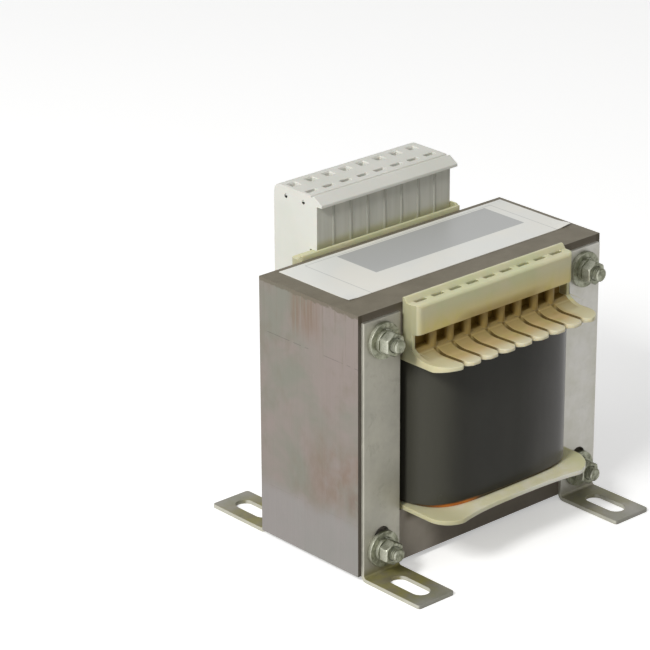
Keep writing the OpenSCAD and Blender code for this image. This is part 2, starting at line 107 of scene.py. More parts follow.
class Finish:
    """A material, with one method that adds any node and a few that put the usual ones together."""

    SOCKETS = {"colour": "Base Color", "roughness": "Roughness", "metallic": "Metallic", "normal": "Normal",
               "glow": "Emission Color"}

    def __init__(self, name, fixed):
        self.material = bpy.data.materials.new(name)
        self.material.use_nodes = True
        self.tree = self.material.node_tree
        self.shader = self.tree.nodes["Principled BSDF"]
        for socket, value in fixed.items():
            self.shader.inputs[socket].default_value = value
        self.place = self.node("ShaderNodeTexCoord", output="Object")
        self.facing = self.node("ShaderNodeNewGeometry", output="Normal")

    def node(self, kind, settings=(), inputs=(), output=0):
        """Adds a node with its settings, its inputs as numbers or values, and gives one of its outputs."""
        made = self.tree.nodes.new(kind)
        for name, value in dict(settings).items():
            setattr(made, name, value)
        for name, value in dict(inputs).items():
            if isinstance(value, Value):
                self.tree.links.new(value.socket, made.inputs[name])
            else:
                made.inputs[name].default_value = value
        return Value(self, made.outputs[output])

    def math(self, operation, first, second=0.0):
        return self.node("ShaderNodeMath", {"operation": operation}, {0: first, 1: second})

    def axes(self, vector, unit=1.0):
        """The three parts of a vector, in the unit given."""
        parts = self.node("ShaderNodeSeparateXYZ", inputs={0: vector})
        return [Value(self, output) * (1 / unit) for output in parts.socket.node.outputs]

    def step(self, value, low, high):
        """Runs smoothly from 0 at low to 1 at high."""
        return self.node("ShaderNodeMapRange", {"interpolation_type": "SMOOTHSTEP"},
                         {0: value, 1: low, 2: high})

    def band(self, value, low, high, soft):
        """1 between low and high."""
        return self.step(value, low - soft, low + soft) * (1 - self.step(value, high - soft, high + soft))

    def faces(self, part):
        """1 where this part of the normal is large, on either side."""
        return self.step(abs(part), 0.6, 0.8)

    def scaled(self, size, stretch=(1, 1, 1)):
        """The place in steps of size millimetres, stretched along each axis."""
        scale = tuple(s / (size * MM) for s in stretch)
        return self.node("ShaderNodeVectorMath", {"operation": "MULTIPLY"}, {0: self.place, 1: scale})

    def grain(self, size, detail=3.0, rough=0.55, stretch=(1, 1, 1), twist=0.0):
        """Cloudy noise from 0 to 1 with features of about size millimetres."""
        return self.node("ShaderNodeTexNoise", inputs={
            "Vector": self.scaled(size, stretch), "Scale": 1.0, "Detail": detail, "Roughness": rough,
            "Distortion": twist})

    def cells(self, size):
        """A shade of its own for each crystal of about size millimetres."""
        colour = self.node("ShaderNodeTexVoronoi", inputs={"Vector": self.scaled(size), "Scale": 1.0},
                           output="Color")
        return self.axes(colour)[0]

    def row_noise(self, value):
        """A shade of its own for each whole number."""
        return self.node("ShaderNodeTexWhiteNoise", {"noise_dimensions": "1D"},
                         {"W": self.math("FLOOR", value)}, output="Value")

    def blend(self, mask, first, second):
        """The first colour where the mask is 0 and the second where it is 1."""
        return self.node("ShaderNodeMix", {"data_type": "RGBA"}, {0: mask, 6: first, 7: second}, output=2)

    def mottle(self, noise, first, second, low=0.3, high=0.7):
        """Two shades mixed along a noise."""
        return self.blend(self.step(noise, low, high), shade(first), shade(second))

    def over(self, colour, mask, code):
        """A shade laid over a colour as far as the mask goes."""
        return self.blend(mask, colour, shade(code))

    def tint(self, colour, amount):
        """Colour times a number."""
        grey = self.node("ShaderNodeCombineXYZ", inputs={0: amount, 1: amount, 2: amount})
        return self.node("ShaderNodeVectorMath", {"operation": "MULTIPLY"}, {0: colour, 1: grey})

    def bump(self, height, depth):
        """Raises the surface by height times depth millimetres."""
        return self.node("ShaderNodeBump", inputs={"Strength": 1.0, "Distance": depth * MM, "Height": height})

    def wear(self, **values):
        """Feeds the shader's sockets and gives the material."""
        for name, value in values.items():
            self.tree.links.new(value.socket, self.shader.inputs[self.SOCKETS[name]])
        return self.material


# ---- Finishes ----

def core_finish():
    """Varnished stampings: brown varnish on top and over its edges, blotched bare metal at the sides."""
    f = Finish("varnished stampings", {"Specular IOR Level": 0.35})
    x, y, z = f.axes(f.place, MM)
    nx, ny, _ = f.axes(f.facing)
    at_side, at_front = f.faces(nx), f.faces(ny)
    foot, top, half_w = core_low.z / MM, core_top / MM, core_high.x / MM
    sheet_t, packet_t, yoke_w = 0.5, 2, 20
    sheet = y / sheet_t + 0.25
    own = f.row_noise(sheet) * (1 - at_front)
    patch = f.grain(34, detail=4, rough=0.6, twist=0.4)
    small_patch = f.grain(11, detail=5, rough=0.65, stretch=(1, 1, 0.7))
    drawn = f.grain(5, detail=4, rough=0.7, stretch=(1, 2.2, 0.1))
    fine = f.grain(0.8, detail=2, stretch=(1, 1, 0.25))

    # Bare metal at the sides
    bare = f.mottle(patch, "86857a", "948983", 0.38, 0.62)
    bare = f.over(bare, f.step(small_patch, 0.5, 0.7) * 0.45, "837a6d")
    yoke = 1 - f.step(z + small_patch * 5, 21, 29)
    bare = f.over(bare, yoke * 0.7, "989593")
    low_rust = f.band(y, -34, -3, 7) * f.band(z, 25, 50, 8) * f.step(small_patch, 0.3, 0.6)
    corner_rust = f.band(y, -31, -21, 3) * f.band(z, 26, 34, 3) * f.step(f.grain(6), 0.35, 0.6)
    high_rust = f.band(y, -6, 9, 3) * f.band(z, 87, 110, 5) * f.step(drawn, 0.3, 0.65)
    rust = f.math("MAXIMUM", low_rust * 0.7, high_rust)
    bare = f.over(bare, rust * 0.85, "816b58")
    bare = f.over(bare, corner_rust * 0.6, "7d665b")
    runs = f.step(drawn, 0.52, 0.66) * f.step(z, 70, 96) * f.step(patch, 0.35, 0.6)
    bare = f.over(bare, runs * 0.55, "756c5a")
    scuff = f.step(f.grain(1.4, detail=4, rough=0.7, stretch=(1, 1.6, 0.16)), 0.66, 0.74)
    bare = f.over(bare, scuff * 0.3, "b1aca2")

    # Varnish on top
    varnish = f.mottle(f.grain(9, detail=5, rough=0.65), "6c6555", "766f5f")
    thick = f.step(f.grain(3, detail=4, rough=0.7), 0.6, 0.75)
    varnish = f.over(varnish, thick * 0.3, "605d4e")

    # Flat faces in front and behind: varnish pooled along their side edges with painted shade there too, and
    # painted shade below the coil, low on the right and under the top edge
    front = f.mottle(f.grain(12, detail=4), "9e968a", "aaa196", 0.35, 0.7)
    # Varnish pooled along the side edges, darkened further with painted shade
    front = f.over(front, f.step(abs(x), half_w - 2.4, half_w - 1.2) * 0.85, "3a342a")
    # Painted shade on the front below the coil and its flange
    painted_shade_under_coil = (1 - f.step(abs(x), 35, 39)) * f.step(z, foot + 13, foot + 17)
    front = f.over(front, painted_shade_under_coil * 0.8, "4e4228")
    # Painted shade low on the right of the front, under the flange
    painted_shade_low_right = f.step(x + patch * 10, -24, -12) * (1 - f.step(z, 24, 30))
    front = f.over(front, painted_shade_low_right * 0.7, "4c4335")
    # Painted shade on the front just under the top edge
    front = f.over(front, f.step(z, top - 6, top - 1.2) * 0.85, "403723")

    colour = f.blend(at_side, varnish, bare)
    colour = f.blend(at_front, colour, front)
    ragged = f.grain(5, detail=5, rough=0.6, stretch=(1, 1, 1.2))
    over_edge = at_side * f.step(z + ragged * 4.5, top + 0.6, top + 1.3)
    colour = f.over(colour, over_edge * 0.8, "6f6858")
    colour = f.tint(colour, 0.955 + 0.025 * own + 0.05 * drawn + 0.04 * (fine - 0.5))

    # Gaps between the sheets, and the joints between the E and the I sheets
    gap = (1 - f.step(f.math("PINGPONG", sheet, 0.5) * 2, 0.0, 0.3)) * (1 - at_front)
    worn = f.step(small_patch, 0.4, 0.6)
    low_joint, high_joint = foot + yoke_w, top - yoke_w
    seam_low = f.band(z, low_joint - 0.08, low_joint + 0.08, 0.05)
    seam_high = f.band(z, high_joint - 0.12, high_joint + 0.12, 0.08)
    in_packet = f.step(f.row_noise(y / packet_t + 0.1), 0.3, 0.6)
    seam = (0.4 * seam_low + seam_high) * at_side * in_packet
    height = 0.12 * own - 0.2 * gap * worn + 0.3 * fine - 0.8 * seam + 0.35 * over_edge + 0.25 * ragged
    return f.wear(colour=f.tint(colour, 1 - 0.035 * gap * worn - 0.3 * seam),
                  roughness=0.52 + 0.2 * patch - 0.08 * drawn,
                  metallic=0.3 * at_side * (1 - rust),
                  normal=f.bump(height, 0.05))


def zinc_finish():
    """Galvanised strip with a yellow-green passivation, olive from the fold to the middle of the feet."""
    f = Finish("passivated zinc sheet", {"Specular IOR Level": 0.5})
    x, y, z = f.axes(f.place, MM)
    nx = f.axes(f.facing)[0]
    spangle = f.cells(2.6)
    cloud = f.grain(14, detail=4, rough=0.6)
    blot = f.grain(6, detail=5, rough=0.7, twist=0.5)
    scratch = f.grain(0.7, detail=3, stretch=(1, 1, 0.3))

    # Uprights, paler on the right
    right = f.step(x, -10, 10)
    grey = f.blend(right, shade("9b998e"), shade("b4b2a7"))
    pale = f.blend(right, shade("a9a69a"), shade("c4c2bd"))
    zinc = f.blend(f.step(cloud, 0.3, 0.7), grey, pale)
    tarnish = f.step(blot, 0.55, 0.7) * (1 - 0.5 * right)
    zinc = f.over(zinc, tarnish * 0.35, "86877a")

    # Feet
    foot = 1 - f.step(z + cloud * 5, 3.2, 9)
    from_fold = 1 - f.step(abs(y) + blot * 14, 48, 64)
    olive = f.mottle(blot, "857f3f", "7b7352", 0.4, 0.62)
    olive = f.over(olive, f.step(f.grain(4, detail=3), 0.6, 0.7) * 0.6, "6e6a3c")
    tip = f.mottle(cloud, "8f8f82", "9a9790", 0.35, 0.65)
    colour = f.blend(foot, zinc, f.blend(from_fold * (0.9 - 0.45 * right), tip, olive))

    pits = f.step(f.grain(1.3, detail=4, rough=0.8), 0.7, 0.76)
    colour = f.over(colour, pits * 0.4, "6b6552")
    # Painted highlight on the faces that look sideways, along the edges of the strip
    painted_edge_highlight = f.step(abs(nx), 0.6, 0.85)
    colour = f.over(colour, painted_edge_highlight * 0.8, "cbc9bc")
    height = 0.25 * cloud + 0.2 * scratch - 0.6 * pits + 0.1 * spangle
    return f.wear(colour=f.tint(colour, 0.95 + 0.07 * spangle + 0.04 * scratch),
                  roughness=0.38 + 0.16 * cloud + 0.1 * foot + 0.08 * spangle,
                  metallic=0.8 - 0.45 * foot - 0.2 * pits,
                  normal=f.bump(height, 0.06))


def fastener_finish():
    """Zinc plating with an olive passivation, with painted shade on the faces above and below and a painted
    highlight on the faces to the left.
    """
    f = Finish("olive zinc plating", {"Specular IOR Level": 0.5})
    nx, _, nz = f.axes(f.facing)
    cloud = f.grain(3, detail=4, rough=0.65)
    scratch = f.grain(0.35, detail=2)
    stain = f.step(f.grain(1.8, detail=4, rough=0.7), 0.45, 0.65)
    colour = f.mottle(cloud, "a2a492", "7d7f6b", 0.35, 0.7)
    colour = f.over(colour, stain * 0.6, "55553d")
    # Painted shade on the faces that look up or down
    colour = f.over(colour, f.step(abs(nz), 0.15, 0.8) * 0.62, "45472f")
    # Painted highlight on the faces that look to the left, broken up by scratches
    painted_left_highlight = f.step(nx * -1, 0.15, 0.7) * f.step(scratch + cloud * 0.4, 0.4, 0.75)
    colour = f.over(colour, painted_left_highlight * 0.7, "cfd0c0")
    return f.wear(colour=colour,
                  roughness=0.24 + 0.2 * cloud + 0.15 * stain,
                  metallic=0.8 - 0.35 * stain,
                  normal=f.bump(0.5 * scratch + 0.5 * cloud, 0.03))


def bobbin_finish():
    """Unpainted polyamide: greenish cream outside and tan where it is thick. Painted shade makes it brown in
    the recesses, at the finger roots and on the slit walls and darker on the rail and slot ends; a painted
    highlight lightens the front of the lower flange.
    """
    f = Finish("cream polyamide", {"Specular IOR Level": 0.45, "Subsurface Weight": 0.3,
                                   "Subsurface Scale": 0.005, "Subsurface Radius": (1.0, 0.8, 0.45)})
    x, y, z = f.axes(f.place, MM)
    nx, ny, _ = f.axes(f.facing)
    out = abs(y)
    cloud = f.grain(13, detail=3)
    blot = f.grain(6, detail=3, twist=0.4)
    flow = f.grain(4, detail=2, stretch=(1, 0.3, 0.3))
    rail_top, rail_low, rail_face, half_pole = core_top / MM, 91, 33.2, 4.2
    on_face = f.step(out, rail_face - 0.7, rail_face)
    under_rail = 1 - f.step(z, rail_low - 0.6, rail_low)
    between_ends = f.step(37.6 - abs(x), 0, 0.3)

    # Rails
    cream = f.mottle(cloud, "d0d1a8", "d8d2ae", 0.35, 0.65)
    tan = f.mottle(blot, "e0cf7c", "e3d08e", 0.35, 0.65)
    down_rail = (1 - f.step(z + cloud * 4, rail_top - 9, rail_top + 0.5)) * f.step(x + cloud * 8, -38, -27)
    colour = f.blend(down_rail * on_face * 0.9, cream, tan)
    low_edge = (1 - f.step(z, rail_low + 0.5, rail_low + 4)) * f.band(x + blot * 10, -12, 28, 6)
    colour = f.over(colour, low_edge * on_face * 0.6, "8f7541")
    # Painted shade on the end faces of the rails
    painted_end_shade = f.faces(nx) * f.step(abs(x), 35, 36)
    colour = f.over(colour, painted_end_shade * f.step(z, 78, 82) * 0.85, "a9a683")
    # Painted shade on the end walls of the latch slots
    painted_slot_shade = f.faces(nx) * f.band(out, 28.2, 29.9, 0.1) * (1 - f.step(abs(x), 37, 38))
    colour = f.over(colour, painted_slot_shade * f.step(z, rail_top - 1.9, rail_top - 1.6) * 0.9, "8c8962")

    # Recesses, brown with painted shade
    painted_recess_shade = (1 - f.step(out, 32.6, 34.4)) * under_rail * f.step(z, 78, 84) * between_ends
    deep = f.blend(f.step(out, 28, 32.5), shade("8e7230"), shade("9a8349"))
    colour = f.blend(painted_recess_shade, colour, deep)

    # Fingers, with painted shade at their roots and on the walls of the slits
    finger = f.step(out, 32, 34.5) * (1 - f.step(z, rail_low - 3, rail_low + 1)) * f.step(z, 70, 72)
    fingers = f.mottle(blot, "bdac74", "c8af7e", 0.35, 0.65)
    fingers = f.over(fingers, f.step(out + cloud * 2, 42, 49.5), "dcd3b4")
    fingers = f.over(fingers, f.step(abs(x), 29.5, 33) * 0.75, "d6d1ad")
    colour = f.blend(finger, colour, fingers)
    # Painted shade at the finger roots, under the rail
    root = (1 - f.step(out, 36.2, 39.5)) * f.step(out, 32.8, 33.4) * f.step(z, 81, 84) * under_rail
    colour = f.over(colour, root * between_ends * 0.75, "8d7944")
    # Painted shade on the side walls of the slits
    painted_slit_shade = f.step(abs(nx), 0.55, 0.8) * f.band(out, 33.4, 46, 1.2) * f.band(z, 79, 87, 1)
    colour = f.over(colour, painted_slit_shade * (1 - f.step(abs(x), 35, 36)) * 0.9, "5a4920")

    # Lower flange
    pale = f.mottle(blot, "e0dab4", "e6e0c6", 0.35, 0.65)
    flange = f.blend(f.step(x, -34, -20), shade("c6c19c"), pale)
    flange = f.over(flange, f.step(x, 24, 36) * 0.7, "d2d19c")
    # Painted highlight on the faces of the flange that look to the front
    flange = f.over(flange, f.step(ny * -1, 0.3, 0.7) * f.step(x, -12, 12), "fffae6")
    colour = f.blend(1 - f.step(z, 30, 40), colour, flange)

    # Faint upright lines on the front rail, one to a pole
    line = f.band(f.math("PINGPONG", x + half_pole * 0.5, half_pole), 0.0, 0.12, 0.06)
    line = line * f.step(out, rail_face - 0.2, rail_face + 0.1) * f.step(z, rail_low - 1, rail_low)
    colour = f.over(colour, line * 0.15 * f.step(y * -1, 0, 5), "c9bfa0")
    return f.wear(colour=f.tint(colour, 0.96 + 0.06 * flow),
                  roughness=0.38 + 0.14 * cloud,
                  normal=f.bump(0.5 * flow + 0.3 * f.grain(0.5, detail=1) + 0.3 * line, 0.03))


def tape_finish():
    """Dark adhesive tape with a satin back, with painted reflection that makes it paler towards its right end
    and a little at its left end.
    """
    f = Finish("dark winding tape", {"Specular IOR Level": 0.14, "Sheen Weight": 0.35,
                                     "Sheen Roughness": 0.25})
    x = f.axes(f.place, MM)[0]
    cloud = f.grain(22, detail=3, stretch=(1, 1, 0.6))
    taut = f.grain(7, detail=3, stretch=(1.2, 1.2, 0.25))
    thread = f.grain(0.35, detail=1, stretch=(1, 1, 0.3))
    colour = f.mottle(cloud, "31302a", "373630")
    # Painted reflection: paler towards the right end, palest at the right corner, and a little paler at the
    # left end
    colour = f.over(colour, f.step(x + taut * 3, 4, 34), "706e6c")
    colour = f.over(colour, f.step(x + taut * 2, 28, 38), "a19f9e")
    colour = f.over(colour, f.step(x * -1 + taut * 3, 24, 34), "46453d")
    return f.wear(colour=f.tint(colour, 0.96 + 0.08 * taut),
                  roughness=0.2 + 0.1 * cloud,
                  normal=f.bump(0.5 * taut + 0.12 * thread, 0.05))


def film_finish():
    """Polyester film, amber where the tape leaves it bare, and painted dark brown as shade everywhere else, as
    in the narrow gap below the tape.
    """
    f = Finish("amber film", {"Specular IOR Level": 0.4})
    x, y, z = f.axes(f.place, MM)
    cloud = f.grain(6, detail=3)
    bare = f.band(x + cloud * 4, -30, -15, 4) * f.step(y * -1, 0, 10) * (1 - f.step(z, 24.8, 25.5))
    # Painted shade: dark brown wherever the film is not bare amber
    colour = f.blend(bare, f.mottle(cloud, "43351a", "37301c"), f.mottle(cloud, "c8792e", "b3621f"))
    return f.wear(colour=colour, roughness=0.3 + 0.2 * cloud, normal=f.bump(cloud, 0.05))


def copper_finish():
    """Enamelled copper wire, wound in close turns."""
    f = Finish("enamelled copper", {"Coat Weight": 0.4, "Coat Roughness": 0.15})
    z = f.axes(f.place, MM)[2]
    wire_d = 0.9
    turn = f.math("PINGPONG", z, wire_d / 2) / (wire_d / 2)
    own = f.row_noise(z / wire_d + 0.03)
    cloud = f.grain(4, detail=3)
    colour = f.mottle(cloud, "a5562c", "8c421e")
    return f.wear(colour=f.tint(colour, 0.88 + 0.2 * own),
                  roughness=0.3 + 0.15 * cloud,
                  metallic=0.7 + 0.2 * own,
                  normal=f.bump(turn, 0.25))


def housing_finish():
    """Light grey-white polyamide with a fine mould texture, a little greyer and streaked on its plain front."""
    f = Finish("grey-white polyamide", {"Specular IOR Level": 0.45, "Subsurface Weight": 0.05,
                                        "Subsurface Scale": 0.002})
    _, y, z = f.axes(f.place, MM)
    nx, ny, _ = f.axes(f.facing)
    low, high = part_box("terminal_housing")
    front, under_lip = low.y / MM, high.z / MM - 3.4
    cloud = f.grain(18, detail=3)
    mould = f.grain(0.4, detail=2)
    streak = f.grain(3.2, detail=3, stretch=(1, 1, 0.06))
    wall = f.step(ny * -1, 0.5, 0.7) * (1 - f.step(z, under_lip - 0.8, under_lip))
    grey = f.mottle(streak, "bcbbb0", "c8c7bd")
    grey = f.over(grey, (1 - f.step(z + cloud, 103.5, 107.5)) * 0.6, "b3b07e")
    colour = f.blend(wall, f.mottle(cloud, "dddcd4", "d7d7cd"), grey)
    # Painted shade on the side faces of the ribs on the front wall
    painted_rib_shade = f.step(abs(nx), 0.4, 0.7) * f.band(y, front + 2.1, front + 2.65, 0.05)
    painted_rib_shade = painted_rib_shade * (1 - f.step(z, under_lip - 0.8, under_lip - 0.2))
    colour = f.over(colour, painted_rib_shade * 0.8, "9f9e93")
    return f.wear(colour=f.tint(colour, 0.98 + 0.03 * cloud),
                  roughness=0.42 + 0.1 * cloud,
                  normal=f.bump(mould + 0.6 * cloud, 0.015))


def brass_finish():
    """Tinned brass strip."""
    f = Finish("tinned brass", {"Specular IOR Level": 0.5})
    cloud = f.grain(3, detail=4)
    return f.wear(colour=f.mottle(cloud, "c9bd93", "b6b2a2", 0.4, 0.6),
                  roughness=0.28 + 0.2 * cloud,
                  metallic=0.95 - 0.1 * cloud,
                  normal=f.bump(f.grain(0.4, stretch=(1, 1, 0.1)), 0.01))


def spring_finish():
    """Bright spring strip with rolling lines."""
    f = Finish("spring strip", {"Specular IOR Level": 0.5})
    lines = f.grain(0.5, detail=3, stretch=(1, 0.05, 0.05))
    return f.wear(colour=f.blend(lines, shade("a9acae"), shade("c3c5c6")),
                  roughness=0.2 + 0.2 * lines,
                  metallic=1 - 0.1 * lines,
                  normal=f.bump(lines, 0.01))


def label_finish():
    """White film with a blank grey field and a thin frame line."""
    f = Finish("label film", {"Specular IOR Level": 0.4})
    x, y, _ = f.axes(f.place, MM)
    cloud = f.grain(25, detail=3)
    wave = f.grain(14, detail=2)

    def panel(left, right, front, back, soft):
        """1 on a rectangle of the label."""
        return f.band(x, left, right, soft) * f.band(y, front, back, soft)

    field = panel(-27.4, 47.0, 0.0, 21.0, 0.12)
    colour = f.over(f.mottle(cloud, "e8e9e4", "edebe2"), field, "b6b7b5")
    line = (panel(-42.0, 51.0, -20, 22.0, 0.08) - panel(-41.6, 50.6, -20, 21.6, 0.08)) * (1 - field)
    colour = f.over(colour, line * 0.5, "a5a8a6")
    return f.wear(colour=colour,
                  roughness=0.36 + 0.12 * cloud,
                  normal=f.bump(wave + 0.05 * f.grain(0.6), 0.12))


finishes = {
    "core_steel": core_finish(),
    "bobbin_nylon": bobbin_finish(),
    "winding_copper": copper_finish(),
    "film": film_finish(),
    "tape": tape_finish(),
    "zinc": zinc_finish(),
    "fastener_zinc": fastener_finish(),
    "housing_white": housing_finish(),
    "contact_brass": brass_finish(),
    "spring_steel": spring_finish(),
    "label_paper": label_finish(),
}
slots = {part["node"]: part["material_slot"] for part in frame["record"]["subparts"]}
for name, node in nodes.items():
    node.data.materials.clear()
    node.data.materials.append(finishes[slots[name]])


# ---- Formed pieces ----

def open_mesh(piece):
    """Opens one piece's mesh with nothing selected in it."""
    bpy.ops.object.select_all(action="DESELECT")
    piece.select_set(True)
    bpy.context.view_layer.objects.active = piece
    bpy.ops.object.mode_set(mode="EDIT")
    bpy.ops.mesh.select_all(action="DESELECT")


def pick(piece, kind, wanted):
    """Selects what a test accepts: points by place and normal, faces by middle and normal,
    or edges by middle and the way they run."""
    bpy.ops.mesh.select_mode(type=kind)
    bpy.ops.mesh.select_all(action="DESELECT")
    bpy.ops.object.mode_set(mode="OBJECT")
    points = piece.data.vertices
    if kind == "FACE":
        for face in piece.data.polygons:
            face.select = wanted(face.center, face.normal)
    elif kind == "EDGE":
        for edge in piece.data.edges:
            a, b = (points[k].co for k in edge.vertices)
            edge.select = wanted((a + b) / 2, (a - b).normalized())
    else:
        for point in points:
            point.select = wanted(point.co, point.normal)
    bpy.ops.object.mode_set(mode="EDIT")


def narrow(piece, kept):
    """Keeps only the selected edges whose middle passes a test."""
    bpy.ops.object.mode_set(mode="OBJECT")
    points = piece.data.vertices
    for edge in piece.data.edges:
        a, b = (points[k].co for k in edge.vertices)
        edge.select = edge.select and kept((a + b) / 2)
    bpy.ops.object.mode_set(mode="EDIT")


def merged_copy(name, new_name):
    """A copy of a node's mesh with its points merged, open for editing."""
    piece = bpy.data.objects.new(new_name, nodes[name].data.copy())
    bpy.context.collection.objects.link(piece)
    open_mesh(piece)
    bpy.ops.mesh.select_all(action="SELECT")
    bpy.ops.mesh.customdata_custom_splitnormals_clear()
    bpy.ops.mesh.remove_doubles(threshold=0.002 * MM)
    return piece


def rounded(name, width, crisp=lambda middle: False, patchy=lambda middle, normal: False):
    """A copy of a node whose sharp edges are rounded, apart from the crisp ones, open for editing.
    Its flat faces are joined up, apart from the patchy ones."""
    piece = merged_copy(name, name + "_rounded")
    pick(piece, "FACE", lambda middle, normal: not patchy(middle, normal))
    bpy.ops.mesh.dissolve_limited(angle_limit=radians(0.5))
    bpy.ops.mesh.select_mode(type="EDGE")
    bpy.ops.mesh.select_all(action="DESELECT")
    bpy.ops.mesh.edges_select_sharp(sharpness=radians(30))
    narrow(piece, lambda middle: not crisp(middle))
    bpy.ops.mesh.bevel(offset=width * MM, segments=2, clamp_overlap=False, miter_outer="ARC")
    return piece


def stand_in(piece, name):
    """Puts a piece in the place of a node."""
    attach(piece, "root")
    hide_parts(name)


def settle(piece, name):
    """Finishes a formed piece that stands for a node."""
    bpy.ops.object.mode_set(mode="EDIT")
    bpy.ops.mesh.reveal(select=False)
    bpy.ops.object.mode_set(mode="OBJECT")
    bpy.ops.object.shade_smooth_by_angle(angle=radians(40))
    even = piece.modifiers.new("even faces", "WEIGHTED_NORMAL")
    even.keep_sharp = True
    bpy.ops.object.modifier_apply(modifier=even.name)
    if not piece.data.materials:
        piece.data.materials.append(finishes[slots[name]])
    stand_in(piece, name)


def rod(sides, radius, x, z, start, end, turn=0.0):
    """Adds a cylinder that runs from front to back."""
    bpy.ops.mesh.primitive_cylinder_add(vertices=sides, radius=radius, depth=end - start,
                                        location=(x, (start + end) / 2, z), rotation=(pi / 2, turn, 0))


def grow(distance, scale=1.0):
    """Extrudes the selected cap towards the front and scales it round its middle."""
    bpy.ops.mesh.extrude_region_move(TRANSFORM_OT_translate={"value": (0, -distance, 0)})
    bpy.ops.transform.resize(value=(scale, 1, scale))


def pull(piece, spot, size, move, reach):
    """Moves the points within size of a spot, and those within reach of them less and less.
    All three are in millimetres."""
    pick(piece, "VERT", lambda place, normal: (place - spot).length < size * MM)
    bpy.ops.transform.translate(value=Vector(move) * MM, use_proportional_edit=True,
                                proportional_edit_falloff="SMOOTH", proportional_size=reach * MM)


def moulded_bobbin():
    """The bobbin with rounded edges, and a lower flange whose front edge is only slightly hollow."""
    low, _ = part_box("bobbin")
    slot_in, slot_out = core_high.y + 1.9 * MM, core_high.y + 4.2 * MM
    slot_floor = core_top - 2 * MM
    flange_back, flange_top = low.y + 9 * MM, low.z + 3 * MM
    piece = rounded("bobbin", 0.2,
                    crisp=lambda middle: middle.z > slot_floor and slot_in < abs(middle.y) < slot_out)
    pick(piece, "VERT", lambda place, normal: place.y < flange_back and place.z < flange_top)
    bpy.ops.mesh.hide(unselected=True)
    hollow = Vector((2 * MM, low.y + 4 * MM, low.z))
    pull(piece, hollow, size=3, move=(0, -1.5, 0), reach=30)
    settle(piece, "bobbin")


def terminal_body():
    """The housing with rounded edges, but crisp ribs on its front and crisp dimples in its ends."""
    low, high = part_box("terminal_housing")
    centre = (low + high) / 2

    def crisp(middle):
        dimple = abs(middle.y - centre.y) < 9.5 * MM and high.z - 16 * MM < middle.z < high.z - 3 * MM
        rib = middle.z < high.z - 4.5 * MM and low.x + 1 * MM < middle.x < high.x - 3 * MM
        return dimple or rib

    piece = rounded("terminal_housing", 0.25, crisp=crisp,
                    patchy=lambda middle, normal: normal.z > 0.9 and middle.z > high.z - 0.1 * MM)
    settle(piece, "terminal_housing")


def threaded_bolts():
    """Four bolts with a chamfered head behind and a cut thread on the end that stands out of the nut."""
    front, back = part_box("clamping_bolts")
    first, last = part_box("head_washers")
    nut_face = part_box("nuts")[0].y
    washer_r, shank_r, head_r = 6.8 * MM, 2.5 * MM, 4.6 * MM
    x, z = first.x + washer_r, first.z + washer_r
    across = last.x - first.x - 2 * washer_r
    up = last.z - first.z - 2 * washer_r
    thread_start, head_start, head_face = nut_face + 0.3 * MM, last.y, back.y - 0.01 * MM
    turns, root, tip_h, tip_scale = 3, 0.8, 0.35 * MM, 0.84
    pitch = (thread_start - front.y - tip_h) / turns

    bpy.ops.object.select_all(action="DESELECT")
    rod(40, shank_r, x, z, thread_start, head_start)
    bolt = bpy.context.object
    bolt.name = "threaded_bolt_1"
    bpy.ops.object.transform_apply(location=True, rotation=True, scale=True)
    open_mesh(bolt)
    pick(bolt, "FACE", lambda middle, normal: normal.y < -0.9)
    for _ in range(turns):
        for share, scale in ((0.3, root), (0.15, 1.0), (0.3, 1 / root), (0.25, 1.0)):
            grow(share * pitch, scale)
    grow(tip_h, tip_scale)
    bpy.ops.mesh.select_all(action="DESELECT")
    rod(6, head_r, x, z, head_start, back.y, turn=pi / 6)
    pick(bolt, "EDGE", lambda middle, along: middle.y > head_face)
    bpy.ops.mesh.bevel(offset=0.5 * MM, segments=2)
    pick(bolt, "FACE", lambda middle, normal: normal.y > 0.99 and middle.y > head_face)
    bpy.ops.mesh.inset(thickness=0.9 * MM, depth=0)

    # Extruding leaves the faces in an order that changes from run to run, so they are sorted
    cursor = bpy.context.scene.cursor
    cursor.location = (0.3, -0.2, 0.7)
    bpy.ops.mesh.select_all(action="SELECT")
    bpy.ops.mesh.sort_elements(type="CURSOR_DISTANCE", elements={"FACE"})
    cursor.location = (0, 0, 0)
    settle(bolt, "clamping_bolts")

    for k, (dx, dz) in enumerate(((across, 0), (0, up), (across, up)), start=2):
        twin = bpy.data.objects.new(f"threaded_bolt_{k}", bolt.data.copy())
        bpy.context.collection.objects.link(twin)
        twin.data.transform(Matrix.Translation((dx, 0, dz)))
        stand_in(twin, "clamping_bolts")


def wound_tape():
    """The tape with its lower edge raised along the front, and more at two places, so some film is bare."""
    low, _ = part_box("tape_wrap")
    tape = merged_copy("tape_wrap", "tape_edge_uneven")
    pick(tape, "VERT", lambda place, normal: place.y < low.y + 12 * MM and place.z < low.z + 0.5 * MM)
    bpy.ops.transform.translate(value=(0, 0, 0.6 * MM))
    for x, lift, reach in ((-24, 0.9, 13), (31, 0.5, 9)):
        pull(tape, Vector((x * MM, low.y, low.z)), size=3, move=(0, 0, lift), reach=reach)
    settle(tape, "tape_wrap")


